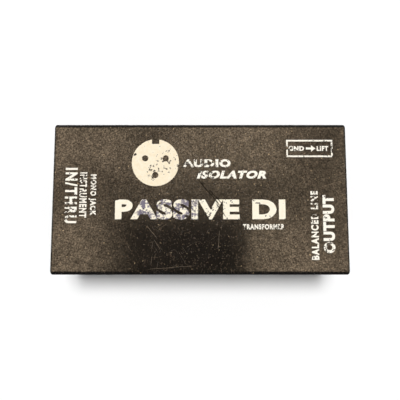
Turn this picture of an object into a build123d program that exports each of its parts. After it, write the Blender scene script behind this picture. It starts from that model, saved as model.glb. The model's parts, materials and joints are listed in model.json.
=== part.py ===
from build123d import *

import os
from math import cos, pi, radians, sin, sqrt, tan

# A passive direct injection box, in millimetres. +Z is up and +X points at the output end.
# The origin is the middle of the footprint, on the surface that the feet stand on.
# A folded steel cover sits over a folded steel base. The input end (-X) carries two 6.35 mm
# jacks, and the output end (+X) a male three-pin connector and the ground-lift slide switch.

# --- Case -------------------------------------------------------------------------------
case_length = 127.0
case_width = 65.2
case_height = 42.0  # underside of the base to the top of the cover
sheet = 1.5
bend_radius = 2.0  # outside radius of every bend in the case
edge_round = 0.9  # deburred and powder-coated ends of the cover
end_recess = 4.5  # how far the cover reaches past each end panel
slip_gap = 0.25  # between the base and the inside of each cover wall
lid_gap = 0.4  # between the end panels' top edges and the cover
flange_depth = 11.0  # side flanges behind each end panel
flange_relief = 1.0  # notch between a flange and the bottom bend
foot_height = 2.5
foot_radius = 5.0
foot_inset = 9.0  # foot centre in from the edges of the base
foot_taper = 8.0
foot_round = 0.6

# --- Fasteners --------------------------------------------------------------------------
thread_gap = 0.05  # radial gap left round every thread
thread_past_nut = 1.2
cover_screw_past = 1.75  # cover screw past the flange that it screws into
countersink_gap = 0.1  # between a flat head and its countersink
m3_radius = 1.45
m3_hole = 1.6
m3_nut_flats = 5.5
m3_nut_height = 2.4
m3_head_radius = 2.75
m3_head_height = 1.7
flat_head_radius = 2.8
m25_radius = 1.2
m25_hole = 1.35
m25_head_radius = 2.3
m25_head_height = 1.5
cross_width = 0.65
cross_depth = 0.9
cross_reach = 0.6  # of the head's radius
head_round = 0.45  # of a pan head's height
nut_corner = 1.03  # a nut's turned-down corners start just outside its flats
nut_taper = 12.0

# --- 6.35 mm jacks ----------------------------------------------------------------------
jack_pitch = 27.0
jack_bore = 3.2
jack_thread = 4.75
jack_thread_pitch = 0.8
jack_hole = 4.9
jack_shoulder_radius = 7.0
jack_shoulder = 1.6
jack_neck = 4.4
jack_lip_radius = 5.5
jack_lip = 0.7
jack_nut_flats = 12.7
jack_nut_height = 2.4
jack_washer_radius = 7.3
jack_washer = 0.6
jack_proud = 0.7  # threads past the nut
jack_bevel = 0.5
tag_thick = 0.6
wafer_radius = 7.6
wafer_thick = 1.2
backing_thick = 0.8
backing_margin = 1.0  # backing washer smaller than the wafers, all round
contact_margin = 0.3  # contacts smaller than the wafers, all round
contact_inner_radius = 5.4  # hole in the tip contact, round the insulating collar
tag_width = 3.2
tag_reach = 14.4
tag_near_hole = 10.4
tag_far_hole = 12.8
tag_hole_radius = 0.5
tag_overlap = 1.2  # of a tag with the ring it runs out from
tag_end_round = 0.45  # of the tag's width
tag_angle = 55.0
stack_gap = 0.03  # radial gap between the bushing's neck and the washers on it
arm_width = 5.0
arm_drop = 8.6  # jack axis to the contact arm's root
arm_reach = 20.5  # panel's inner face to the arm's nose
arm_nose = 1.9  # jack axis to the nose of the unflexed arm
arm_root = 0.1  # arm's root below the contact's stub
arm_heel = 2.2  # root to heel, away from the panel
arm_heel_drop = 1.5  # root to heel, away from the axis
arm_knee = 5.5  # knee to nose, away from the panel
arm_knee_rise = 0.5  # root to knee, towards the axis
arm_lip = 3.0  # nose to the flared end, away from the panel
arm_lip_drop = 3.3  # nose to the flared end, away from the axis
arm_gap = 0.2  # joint between the clamped contact and its flexing arm
arm_bend = 0.9
arm_margin = 0.4  # arm narrower than the contact that it bends from, each side

# --- Output connector -------------------------------------------------------------------
output_share = -0.1864  # connector's place along the panel, as a share of the base's width
flange_thick = 2.2
flange_corner = 3.0
flange_screw_angle = 51.63  # screw's direction from the connector's axis, above the level
flange_nut_gap = 0.43  # between a screw's nut and the cup
flange_margin = 3.5  # flange past each screw's centre
cup_radius = 11.7
cup_bore = 9.4
cup_depth = 15.5
cup_gap = 0.3  # between the cup and the hole in the end panel
cup_mouth_round = 0.7
flange_edge_round = 0.6
overrun = 0.5  # how far a cut or a rib runs past the surface that it meets
insert_gap = 0.03
insert_face = 2.6  # insert in front of the cup's rear edge
insert_flange = 1.8
insert_flange_radius = 10.8
insert_boss = 2.4
insert_boss_radius = 8.0
pin_radius = 1.19
pin_tip_round = 0.85  # of the pin's radius
pin_shank_radius = 1.0  # held in the insert
pin_shank_past = 0.2  # shank past the insert's face
pin_circle = 4.25
pin_angles = (153.4, 26.6, 270.0)  # pins 1, 2 and 3 seen from outside
pin_setback = 1.6  # pin tips behind the front of the flange
pin_gap = 0.02
cup_solder_radius = 1.6
cup_solder_bore = 1.0
cup_solder_length = 5.0
cup_solder_depth = 0.75  # of the solder cup's length
cup_cut_length = 0.5  # of the solder cup's length
cup_cut_depth = 0.9  # of the solder cup's radius
key_width = 2.6
key_height = 1.0
key_length = 0.45  # of the cup's depth
latch_width = 4.5
latch_depth = 1.1
latch_length = 2.8
latch_setback = 1.2
ground_tag_reach = 8.0
ground_tag_margin = 0.3  # ground tag's ring outside the nut's flats

# --- Ground-lift switch -----------------------------------------------------------------
switch_share = 0.3241  # switch's place along the panel, as a share of the base's width
switch_travel = 3.2
lever_size = 4.0
lever_corner = 0.3
lever_tip_round = 0.25
rib_count = 3
rib_pitch = 1.0
rib_width = 0.35
rib_depth = 0.5
lever_proud = 2.4  # lever past the outside of the end panel
lever_gap = 0.3
slot_gap = 0.45
switch_sheet = 0.6
switch_width = 9.0
switch_body = 14.0
switch_tall = 24.0
switch_depth = 5.2  # clear depth inside the can
switch_screw_pitch = 19.0
switch_screw_past = 2.0
switch_corner = 1.5
wall_past_board = 0.5
board_thick = 1.2
board_gap = 0.05  # between the board and each side wall
board_margin = 0.2  # board shorter than the side walls, at each end
slider_thick = 1.7
slider_gap = 0.25
slider_margin = 2.5  # slide past the lever, at each end
slider_corner = 0.4
terminal_column = 2.0
terminal_row = 4.2
terminal_wide = 1.6
terminal_thick = 0.5
terminal_length = 5.0
terminal_head = 0.4
terminal_head_margin = 0.3
terminal_gap = 0.03
terminal_hole = 0.5
terminal_eye = 1.4  # eye in from a terminal's end
bridge_thick = 0.4
bridge_half_width = 0.8
bridge_past = 1.2  # strip past the terminal at each end
bridge_lift = 1.1  # its ends turned up by this much
bridge_slope = 0.9  # over this length
bridge_bend = 0.5
spring_radius = 0.75
spring_wire = 0.15
spring_turns = 4
spring_gap = 0.1
pocket_depth = 1.1

# --- Transformer ------------------------------------------------------------------------
core_x = -3.0
leg = 5.0  # outer legs and yokes; the middle leg is twice as wide
window_height = 15.0
lamination = 0.55
lamination_pitch = 0.6
lamination_count = 20
core_lift = 0.2  # core above the base
bobbin_gap = 0.15
bobbin_wall = 0.8
primary_build = 1.7
secondary_build = 1.2
tape_build = 0.25
winding_gap = 0.02
coil_corner = 0.6
terminal_overhang = 6.2  # bobbin flange past the core, front and back
terminal_inset = 1.1  # terminal in from the flange's edge
terminal_sunk = 0.5  # terminal below the flange
bobbin_corner = 1.0
joint_gap = 0.02  # between each E and its I, and round the wound-in pins
tape_margin = 0.3
pin_wire_radius = 0.4
pin_wire_length = 5.0
pin_wire_pitch = 6.0
bracket_sheet = 0.8
bracket_gap = 0.25
bracket_foot = 9.0
bracket_bend = 1.4
bracket_margin = 0.5  # core past each edge of the bracket
bracket_screw_share = 0.6  # of the foot's length
slot_travel = 1.2

# --- Hook-up wire -----------------------------------------------------------------------
wire_radius = 0.75
core_radius = 0.45
strip_length = 1.6
through_tag = 0.5  # core past a tag's face
bend_share = 0.45  # of the shorter run beside a bend, used by its arc
eye_clearance = 0.4  # core's end past the near face of a switch terminal
cup_fill = 0.25  # bare core's depth in a solder cup, as a share of the cup's length

# --- Places that several pieces share ---------------------------------------------------
base_length = case_length - 2 * end_recess
base_width = case_width - 2 * (sheet + slip_gap)
base_bottom = foot_height
base_floor = base_bottom + sheet
cover_top = foot_height + case_height
panel_top = cover_top - sheet - lid_gap
panel_outer = base_length / 2
panel_inner = panel_outer - sheet
axis_height = foot_height + case_height / 2
output_offset = base_width * output_share
switch_offset = base_width * switch_share
flange_screw_reach = cup_radius + m3_nut_flats / sqrt(3) + flange_nut_gap
flange_screw_across = flange_screw_reach * cos(radians(flange_screw_angle))
flange_screw_up = flange_screw_reach * sin(radians(flange_screw_angle))
flange_wide = 2 * (flange_screw_across + flange_margin)
flange_tall = 2 * (flange_screw_up + flange_margin)
cover_screw_x = panel_outer - flange_depth / 2 - 0.5
input_y = jack_pitch / 2
thru_y = -jack_pitch / 2
slide_rest = -switch_travel / 2  # the slide rests at its lower, grounded end
head_seat = flat_head_radius + countersink_gap
cover_screw_length = 2 * sheet + slip_gap + cover_screw_past

fine = 0.01  # tolerance for choosing edges

pieces = {}


def plane_at(x, y, z, normal, across=(0, 1, 0)):
    """A plane at a point with a given normal, whose own x runs along across."""
    return Plane(origin=(x, y, z), x_dir=across, z_dir=normal)


def ring(plane, start, end, outer, inner):
    """A washer between two depths along the plane's normal."""
    with BuildPart() as made:
        with BuildSketch(plane.offset(start)):
            Circle(outer)
            Circle(inner, mode=Mode.SUBTRACT)
        extrude(amount=end - start)
    return made.part


def polar(radius, angle):
    return (radius * cos(radians(angle)), radius * sin(radians(angle)))


def cross_recess(face, reach):
    """The cross-shaped driver recess, cut down from a screw head's outer face."""
    with BuildPart() as recess:
        with BuildSketch(face):
            Rectangle(2 * reach, cross_width)
            Rectangle(cross_width, 2 * reach)
        extrude(amount=-cross_depth)
    return recess.part


def pan_screw(face, shank, length, head_radius, head_height):
    """A pan-head screw whose head sits on the plane and whose shank runs against its normal."""
    with BuildPart() as screw:
        with BuildSketch(face):
            Circle(head_radius)
        extrude(amount=head_height)
        rim = screw.edges().filter_by(GeomType.CIRCLE).sort_by(face_axis(face))[-1]
        fillet(rim, head_height * head_round)
        with BuildSketch(face):
            Circle(shank)
        extrude(amount=-length)
        add(cross_recess(face.offset(head_height), head_radius * cross_reach), mode=Mode.SUBTRACT)
    return screw.part


def flat_screw(face, shank, length, head_radius):
    """A countersunk screw, its head level with the plane and its shank running against the normal."""
    cone = head_radius - shank
    with BuildPart() as screw:
        with BuildSketch(face):
            Circle(head_radius)
        with BuildSketch(face.offset(-cone)):
            Circle(shank)
        loft()
        with BuildSketch(face.offset(-cone)):
            Circle(shank)
        extrude(amount=cone - length)
        add(cross_recess(face, head_radius * cross_reach), mode=Mode.SUBTRACT)
    return screw.part


def hex_nut(face, flats, height, bore):
    """A hexagon nut standing on the plane, with its outer corners turned down."""
    with BuildPart() as nut:
        with BuildSketch(face):
            RegularPolygon(flats / 2, 6, major_radius=False)
        extrude(amount=height)
        with BuildSketch(face):
            Circle(flats / 2 * nut_corner)
        extrude(amount=height, taper=-nut_taper, mode=Mode.INTERSECT)
        with BuildSketch(face):
            Circle(bore)
        extrude(amount=height, mode=Mode.SUBTRACT)
    return nut.part


def face_axis(face):
    return Axis(face.origin, face.z_dir)


def folded(plane, outline, radius, thickness, side):
    """The section of a folded sheet: the outline of one face, thickened towards one side."""
    with BuildSketch(plane) as section:
        with BuildLine():
            FilletPolyline(*outline, radius=radius)
            offset(amount=thickness, side=side)
        make_face()
    return section.sketch


# --- Case pieces ------------------------------------------------------------------------


def cover_screw_faces():
    """Where the four cover screws enter, each plane facing out of the cover."""
    places = []
    for side in (-1, 1):
        for end in (-1, 1):
            spot = (end * cover_screw_x, side * case_width / 2, axis_height)
            places.append(plane_at(*spot, (0, side, 0), (1, 0, 0)))
    return places


def on_outer_end(edge):
    """True for the edges at the cover's ends that lie on its outer skin, bends included."""
    middle = edge.position_at(0.5)
    at_end = abs(abs(middle.X) - case_length / 2) < fine
    outer_skin = sheet / 2
    on_side = abs(middle.Y) > case_width / 2 - outer_skin and middle.Z > base_bottom + fine
    return at_end and (on_side or middle.Z > cover_top - outer_skin)


def make_cover():
    """The top and both long sides, folded from one sheet and open at the ends."""
    half = case_width / 2
    outline = [(-half, base_bottom), (-half, cover_top), (half, cover_top), (half, base_bottom)]
    with BuildPart() as cover:
        extrude(folded(Plane.YZ, outline, bend_radius, sheet, Side.RIGHT), amount=case_length / 2, both=True)
        fillet(cover.edges().filter_by(on_outer_end), edge_round)
        with Locations(*cover_screw_faces()):
            CounterSinkHole(m3_hole, head_seat, 3 * sheet, counter_sink_angle=90)
    return cover


def input_panel_holes():
    with BuildPart() as holes:
        with BuildSketch(plane_at(-panel_outer, 0, axis_height, (1, 0, 0))):
            with Locations((input_y, 0), (thru_y, 0)):
                Circle(jack_hole)
        extrude(amount=sheet)
    return holes.part


def output_panel_holes():
    with BuildPart() as holes:
        with BuildSketch(plane_at(panel_inner, 0, axis_height, (1, 0, 0))):
            with Locations((output_offset, 0)):
                Circle(cup_radius + cup_gap)
            with Locations(*[(output_offset + across, up) for across, up in flange_screw_points()]):
                Circle(m3_hole)
            with Locations((switch_offset, 0)):
                Rectangle(lever_size + 2 * slot_gap, lever_size + switch_travel + 2 * slot_gap)
            for side in (-1, 1):
                with Locations((switch_offset, side * switch_screw_pitch / 2)):
                    Circle(m25_hole)
        extrude(amount=sheet)
    return holes.part


def end_channel(end):
    """One end panel with its rounded corners and the two side flanges behind it."""
    half_length = base_length / 2
    half_width = base_width / 2
    flange_end = end * (half_length - flange_depth)
    outline = [
        (flange_end, half_width),
        (end * half_length, half_width),
        (end * half_length, -half_width),
        (flange_end, -half_width),
    ]
    flange_bottom = base_bottom + bend_radius + flange_relief
    inward = Side.RIGHT if end > 0 else Side.LEFT
    with BuildPart() as channel:
        extrude(
            folded(Plane.XY.offset(flange_bottom), outline, bend_radius, sheet, inward),
            amount=panel_top - flange_bottom,
        )
    return channel.part


def make_base():
    """The bottom and both end panels, with side flanges that take the cover's screws."""
    half_length = base_length / 2
    outline = [
        (-half_length, panel_top),
        (-half_length, base_bottom),
        (half_length, base_bottom),
        (half_length, panel_top),
    ]
    with BuildPart() as base:
        extrude(
            folded(Plane.XZ, outline, bend_radius, sheet, Side.LEFT),
            amount=base_width / 2 - bend_radius,
            both=True,
        )
        with BuildSketch(Plane.XY.offset(base_bottom)):
            Rectangle(base_length - 2 * bend_radius, base_width)
        extrude(amount=sheet)
        add(end_channel(-1))
        add(end_channel(1))
        add(input_panel_holes(), mode=Mode.SUBTRACT)
        add(output_panel_holes(), mode=Mode.SUBTRACT)
        with Locations(*[face.offset(-sheet) for face in cover_screw_faces()]):
            Hole(m3_radius + thread_gap, depth=sheet + 3 * slip_gap)
        with BuildSketch(Plane.XY.offset(base_bottom)):
            with Locations(*bracket_screw_points()):
                Circle(m3_hole)
        extrude(amount=sheet, mode=Mode.SUBTRACT)
    return base


def make_cover_screws():
    size = (m3_radius, cover_screw_length, flat_head_radius)
    screws = [flat_screw(face, *size) for face in cover_screw_faces()]
    with BuildPart() as group:
        add(screws)
    return group


def make_foot(x, y):
    """A stick-on rubber foot, slightly tapered, with a rounded tread."""
    with BuildPart() as foot:
        with BuildSketch(Plane.XY.offset(base_bottom)):
            with Locations((x, y)):
                Circle(foot_radius)
        extrude(amount=-foot_height, taper=foot_taper)
        fillet(foot.edges().group_by(Axis.Z)[0], foot_round)
    return foot


# --- Jacks ------------------------------------------------------------------------------

wafer_start = jack_shoulder + tag_thick
contact_start = wafer_start + wafer_thick
rear_wafer_start = contact_start + tag_thick
backing_start = rear_wafer_start + wafer_thick
neck_end = backing_start + backing_thick
thread_end = sheet + jack_washer + jack_nut_height + jack_proud
stack_bore = jack_neck + stack_gap


def jack_plane(y):
    """At the input panel's inner face, on the jack's axis, facing into the box."""
    return plane_at(-panel_inner, y, axis_height, (1, 0, 0))


def make_bushing(y):
    """The threaded sleeve: barrel, shoulder, neck and the lip rolled over the washers."""
    axis = Axis((-panel_inner, y, axis_height), (1, 0, 0))
    bevel = jack_bevel
    groove = jack_thread_pitch / 2
    outline = [(-thread_end, jack_bore + bevel), (-thread_end, jack_thread - bevel)]
    turns = int((thread_end - sheet - bevel) / jack_thread_pitch)
    for turn in range(turns):
        start = -thread_end + bevel + turn * jack_thread_pitch
        outline.append((start, jack_thread))
        outline.append((start + groove, jack_thread - groove))
    outline += [
        (-thread_end + bevel + turns * jack_thread_pitch, jack_thread),
        (0, jack_thread),
        (0, jack_shoulder_radius),
        (jack_shoulder, jack_shoulder_radius),
        (jack_shoulder, jack_neck),
        (neck_end, jack_neck),
        (neck_end, jack_lip_radius),
        (neck_end + jack_lip / 2, jack_lip_radius),
        (neck_end + jack_lip, jack_lip_radius - jack_lip),
        (neck_end + jack_lip, jack_bore),
        (-thread_end + bevel, jack_bore),
    ]
    side = Plane(origin=axis.position, x_dir=(1, 0, 0), z_dir=(0, -1, 0))
    with BuildPart() as bushing:
        with BuildSketch(side):
            with BuildLine():
                Polyline(*outline, close=True)
            make_face()
        revolve(axis=axis)
    return bushing


def tag_sketch(angle):
    """A solder tag that runs out from a ring at an angle, with two wire holes."""
    with BuildSketch() as tag:
        with Locations(Location((0, 0, 0), (0, 0, angle))):
            with Locations((wafer_radius - tag_overlap, 0)):
                Rectangle(tag_reach - wafer_radius + tag_overlap, tag_width, align=(Align.MIN, Align.CENTER))
        fillet(tag.vertices().sort_by_distance(polar(2 * tag_reach, angle))[:2], tag_width * tag_end_round)
        with Locations(polar(tag_near_hole, angle), polar(tag_far_hole, angle)):
            Circle(tag_hole_radius, mode=Mode.SUBTRACT)
    return tag.sketch


def make_sleeve_tag(y):
    """The ring against the bushing's shoulder, with its solder tag."""
    with BuildPart() as tag:
        with BuildSketch(jack_plane(y).offset(jack_shoulder)):
            Circle(wafer_radius - contact_margin)
            add(tag_sketch(180 - tag_angle))
            Circle(stack_bore, mode=Mode.SUBTRACT)
        extrude(amount=tag_thick)
    return tag


def make_front_wafer(y):
    """An insulating washer, with a collar that keeps the tip contact off the neck."""
    with BuildPart() as wafer:
        add(ring(jack_plane(y), wafer_start, contact_start, wafer_radius, stack_bore))
        collar_radius = contact_inner_radius - stack_gap
        add(ring(jack_plane(y), contact_start, rear_wafer_start, collar_radius, stack_bore))
    return wafer


def make_tip_contact(y):
    """The clamped half of the tip contact: ring, solder tag and the stub that its arm bends from."""
    stub = arm_drop - arm_gap
    with BuildPart() as contact:
        with BuildSketch(jack_plane(y).offset(contact_start)):
            Circle(wafer_radius - contact_margin)
            add(tag_sketch(tag_angle))
            with Locations((0, -stub)):
                Rectangle(arm_width, stub, align=(Align.CENTER, Align.MIN))
            Circle(contact_inner_radius, mode=Mode.SUBTRACT)
        extrude(amount=tag_thick)
    return contact


def make_tip_arm(y):
    """The flexing half of the tip contact: a strip that runs back to a nose bent in towards the axis."""
    root = contact_start + tag_thick / 2
    root_drop = arm_drop + arm_root
    # Local x runs back from the panel, and local y runs down from the axis.
    side = Plane(origin=(-panel_inner, y, axis_height), x_dir=(1, 0, 0), z_dir=(0, 1, 0))
    outline = [
        (root, root_drop),
        (root + arm_heel, root_drop + arm_heel_drop),
        (arm_reach - arm_knee, root_drop - arm_knee_rise),
        (arm_reach, arm_nose),
        (arm_reach + arm_lip, arm_nose + arm_lip_drop),
    ]
    with BuildPart() as arm:
        section = folded(side, outline, arm_bend, tag_thick, Side.LEFT)
        extrude(section, amount=arm_width / 2 - arm_margin, both=True)
    return arm


def make_jack(name, y):
    """One complete jack: its pieces go into the list under its name."""
    face = jack_plane(y)
    outside = plane_at(-panel_outer, y, axis_height, (-1, 0, 0))
    pieces[name + "_bushing"] = make_bushing(y)
    with BuildPart() as washer:
        add(ring(outside, 0, jack_washer, jack_washer_radius, jack_thread + thread_gap))
    pieces[name + "_washer"] = washer
    with BuildPart() as nut:
        add(hex_nut(outside.offset(jack_washer), jack_nut_flats, jack_nut_height, jack_thread + thread_gap))
    pieces[name + "_nut"] = nut
    pieces[name + "_sleeve_tag"] = make_sleeve_tag(y)
    pieces[name + "_front_wafer"] = make_front_wafer(y)
    pieces[name + "_tip_contact"] = make_tip_contact(y)
    pieces[name + "_tip_arm"] = make_tip_arm(y)
    with BuildPart() as rear_wafer:
        add(ring(face, rear_wafer_start, backing_start, wafer_radius, stack_bore))
    pieces[name + "_rear_wafer"] = rear_wafer
    with BuildPart() as backing:
        add(ring(face, backing_start, neck_end, wafer_radius - backing_margin, stack_bore))
    pieces[name + "_backing_washer"] = backing


# --- Output connector -------------------------------------------------------------------

insert_rear = cup_depth + insert_flange
boss_rear = insert_rear + insert_boss


def output_plane():
    """At the output panel's outer face, on the connector's axis, facing out."""
    return plane_at(panel_outer, output_offset, axis_height, (1, 0, 0))


def flange_screw_points():
    """The two screws stand at opposite corners of the flange."""
    return [(-flange_screw_across, flange_screw_up), (flange_screw_across, -flange_screw_up)]


def pin_points():
    return [polar(pin_circle, angle) for angle in pin_angles]


def make_connector_shell():
    """The die-cast flange and cup, with the key rib and the latch pocket at the top of the cup."""
    face = output_plane()
    with BuildPart() as shell:
        with BuildSketch(face):
            RectangleRounded(flange_wide, flange_tall, flange_corner)
        extrude(amount=flange_thick)
        fillet(shell.faces().sort_by(Axis.X)[-1].edges(), flange_edge_round)
        with BuildSketch(face.offset(-cup_depth)):
            Circle(cup_radius)
        extrude(amount=cup_depth)
        with BuildSketch(face.offset(-cup_depth)):
            Circle(cup_bore)
        extrude(amount=cup_depth + flange_thick, mode=Mode.SUBTRACT)
        circles = shell.edges().filter_by(GeomType.CIRCLE).sort_by(Axis.X)
        fillet([e for e in circles if abs(e.radius - cup_bore) < fine][-1], cup_mouth_round)
        with BuildSketch(face.offset(insert_face - cup_depth)):
            with Locations((0, cup_bore + overrun)):
                Rectangle(key_width, key_height + overrun, align=(Align.CENTER, Align.MAX))
        extrude(amount=cup_depth * key_length)
        with BuildSketch(face.offset(-latch_length - latch_setback)):
            with Locations((0, cup_bore - overrun)):
                Rectangle(latch_width, latch_depth + overrun, align=(Align.CENTER, Align.MIN))
        extrude(amount=latch_length, mode=Mode.SUBTRACT)
        for point in flange_screw_points():
            spot = Plane(face.offset(flange_thick).from_local_coords(Vector(*point)), face.x_dir, face.z_dir)
            with Locations(spot):
                CounterSinkHole(m3_hole, head_seat, flange_thick, counter_sink_angle=90)
    return shell


def make_connector_insert():
    """The moulded insert that holds the pins, pushed into the cup from behind."""
    face = output_plane()
    with BuildPart() as insert:
        with BuildSketch(face.offset(insert_face - cup_depth)):
            Circle(cup_bore - insert_gap)
        extrude(amount=-insert_face)
        with BuildSketch(face.offset(-cup_depth)):
            Circle(insert_flange_radius)
        extrude(amount=-insert_flange)
        with BuildSketch(face.offset(-insert_rear)):
            Circle(insert_boss_radius)
        extrude(amount=-insert_boss)
        with BuildSketch(face.offset(-boss_rear)):
            with Locations(*pin_points()):
                Circle(pin_shank_radius + pin_gap)
        extrude(amount=boss_rear, mode=Mode.SUBTRACT)
    return insert


def make_connector_pin(point):
    """A turned contact pin: a thinner shank in the insert, a domed tip and a cut-away solder cup."""
    face = output_plane()
    spot = Plane(face.from_local_coords(Vector(*point)), face.x_dir, face.z_dir)
    shank_end = insert_face - cup_depth + pin_shank_past
    with BuildPart() as pin:
        with BuildSketch(spot.offset(-boss_rear)):
            Circle(pin_shank_radius)
        extrude(amount=boss_rear + shank_end)
        with BuildSketch(spot.offset(shank_end)):
            Circle(pin_radius)
        extrude(amount=flange_thick - pin_setback - shank_end)
        fillet(pin.edges().sort_by(Axis.X)[-1], pin_radius * pin_tip_round)
        with BuildSketch(spot.offset(-boss_rear)):
            Circle(cup_solder_radius)
        extrude(amount=-cup_solder_length)
        with BuildSketch(spot.offset(-boss_rear - cup_solder_length)):
            Circle(cup_solder_bore)
        extrude(amount=cup_solder_length * cup_solder_depth, mode=Mode.SUBTRACT)
        with BuildSketch(spot.offset(-boss_rear - cup_solder_length)):
            with Locations((0, cup_solder_radius)):
                cut = (2 * cup_solder_radius, cup_solder_radius * cup_cut_depth)
                Rectangle(*cut, align=(Align.CENTER, Align.MAX))
        extrude(amount=cup_solder_length * cup_cut_length, mode=Mode.SUBTRACT)
    return pin


def flange_screw_faces(offset_out):
    face = output_plane().offset(offset_out)
    return [Plane(face.from_local_coords(Vector(*p)), face.x_dir, face.z_dir) for p in flange_screw_points()]


def make_flange_screws():
    length = flange_thick + sheet + tag_thick + m3_nut_height + thread_past_nut
    size = (m3_radius, length, flat_head_radius)
    screws = [flat_screw(face, *size) for face in flange_screw_faces(flange_thick)]
    with BuildPart() as group:
        add(screws)
    return group


def make_flange_nuts():
    """One nut bears on the panel and the other on the ground tag."""
    upper, lower = flange_screw_faces(-sheet)
    inward = (-1, 0, 0)
    seats = [
        Plane(upper.origin, (0, 1, 0), inward),
        Plane(lower.origin + Vector(-tag_thick, 0, 0), (0, 1, 0), inward),
    ]
    nuts = [hex_nut(seat, m3_nut_flats, m3_nut_height, m3_radius + thread_gap) for seat in seats]
    with BuildPart() as group:
        add(nuts)
    return group


def make_ground_tag():
    """The chassis tag held under the lower connector nut, reaching towards the switch."""
    lower = flange_screw_faces(-sheet)[1]
    with BuildPart() as tag:
        with BuildSketch(Plane(lower.origin, (0, 1, 0), (-1, 0, 0))):
            Circle(m3_nut_flats / 2 + ground_tag_margin)
            with Locations((ground_tag_reach / 2, 0)):
                SlotOverall(ground_tag_reach + tag_width, tag_width)
            Circle(m3_radius + thread_gap, mode=Mode.SUBTRACT)
            with Locations((ground_tag_reach, 0)):
                Circle(tag_hole_radius, mode=Mode.SUBTRACT)
        extrude(amount=tag_thick)
    return tag


def make_output_connector():
    pieces["output_shell"] = make_connector_shell()
    pieces["output_insert"] = make_connector_insert()
    for number, point in enumerate(pin_points(), start=1):
        pieces[f"output_pin_{number}"] = make_connector_pin(point)
    pieces["output_flange_screws"] = make_flange_screws()
    pieces["output_flange_nuts"] = make_flange_nuts()
    pieces["ground_tag"] = make_ground_tag()


# --- Ground-lift switch -----------------------------------------------------------------

can_back = switch_sheet + switch_depth
board_rear = can_back + board_thick
slider_front = switch_sheet + slider_gap
strip_depth = can_back - terminal_head - spring_gap  # panel's inner face to the bridge strips' working face


def switch_plane():
    """At the output panel's inner face, on the switch's middle, facing into the box."""
    return plane_at(panel_inner, switch_offset, axis_height, (-1, 0, 0), (0, -1, 0))


def terminal_points():
    return [(column * terminal_column, row * terminal_row) for column in (-1, 1) for row in (-1, 0, 1)]


def make_switch_frame():
    """The steel can: a face with two screw ears, and side walls that hold the terminal board."""
    face = switch_plane()
    with BuildPart() as frame:
        with BuildSketch(face):
            RectangleRounded(switch_width, switch_tall, switch_corner)
        extrude(amount=switch_sheet)
        for side in (-1, 1):
            with BuildSketch(face):
                with Locations((side * (switch_width - switch_sheet) / 2, 0)):
                    Rectangle(switch_sheet, switch_body)
            extrude(amount=board_rear + wall_past_board)
        with BuildSketch(face):
            Rectangle(lever_size + 2 * lever_gap, lever_size + switch_travel + 2 * lever_gap)
            with Locations((0, switch_screw_pitch / 2), (0, -switch_screw_pitch / 2)):
                Circle(m25_radius + thread_gap)
        extrude(amount=switch_sheet, mode=Mode.SUBTRACT)
    return frame


def make_slider():
    """The moulded slide and its ribbed lever, shown at the lower, grounded end of its travel."""
    face = switch_plane()
    slide_width = switch_width - 2 * (switch_sheet + lever_gap)
    with BuildPart() as slider:
        with BuildSketch(face.offset(slider_front)):
            with Locations((0, slide_rest)):
                RectangleRounded(slide_width, lever_size + 2 * slider_margin, slider_corner)
        extrude(amount=slider_thick)
        with BuildSketch(face.offset(slider_front)):
            with Locations((0, slide_rest)):
                RectangleRounded(lever_size, lever_size, lever_corner)
        extrude(amount=-(slider_front + sheet + lever_proud))
        fillet(slider.faces().sort_by(Axis.X)[-1].edges(), lever_tip_round)
        with BuildSketch(face.offset(-sheet - lever_proud)):
            with GridLocations(0, rib_pitch, 1, rib_count):
                with Locations((0, slide_rest)):
                    Rectangle(lever_size + 2 * overrun, rib_width)
        extrude(amount=rib_depth, mode=Mode.SUBTRACT)
        with BuildSketch(face.offset(slider_front + slider_thick)):
            with Locations((-terminal_column, slide_rest), (terminal_column, slide_rest)):
                Circle(spring_radius + spring_wire + spring_gap)
        extrude(amount=-pocket_depth, mode=Mode.SUBTRACT)
    return slider


def make_bridge_contacts():
    """Two sprung brass strips under the slide, each joining the middle terminal to one end one."""
    end = terminal_row / 2 + bridge_past
    flat = end - bridge_slope
    outline = [(-end, bridge_lift), (-flat, 0), (flat, 0), (end, bridge_lift)]
    strips = []
    for column in (-terminal_column, terminal_column):
        middle = switch_plane().from_local_coords(Vector(column, slide_rest, strip_depth))
        side = Plane(origin=middle, x_dir=(0, 0, 1), z_dir=(0, 1, 0))
        with BuildPart() as strip:
            section = folded(side, outline, bridge_bend, bridge_thick, Side.LEFT)
            extrude(section, amount=bridge_half_width, both=True)
        strips.append(strip.part)
    with BuildPart() as group:
        add(strips)
    return group


def make_switch_springs():
    """The two coil springs that press the brass strips on the terminals."""
    start = slider_front + slider_thick - pocket_depth + spring_gap + spring_wire
    end = strip_depth - bridge_thick - spring_gap - spring_wire
    height = end - start
    pitch = height / spring_turns
    coils = []
    for column in (-terminal_column, terminal_column):
        foot = tuple(switch_plane().from_local_coords(Vector(column, slide_rest, start)))
        with BuildPart() as coil:
            with BuildLine():
                turns = Helix(pitch, height, spring_radius, center=foot, direction=(-1, 0, 0))
            with BuildSketch(Plane(origin=turns @ 0, z_dir=turns % 0)):
                Circle(spring_wire)
            sweep()
        coils.append(coil.part)
    with BuildPart() as group:
        add(coils)
    return group


def make_terminal_board():
    with BuildPart() as board:
        with BuildSketch(switch_plane().offset(can_back)):
            Rectangle(switch_width - 2 * (switch_sheet + board_gap), switch_body - 2 * board_margin)
            slot = (terminal_thick + 2 * terminal_gap, terminal_wide + 2 * terminal_gap)
            with Locations(*terminal_points()):
                Rectangle(*slot, mode=Mode.SUBTRACT)
        extrude(amount=board_thick)
    return board


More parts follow.
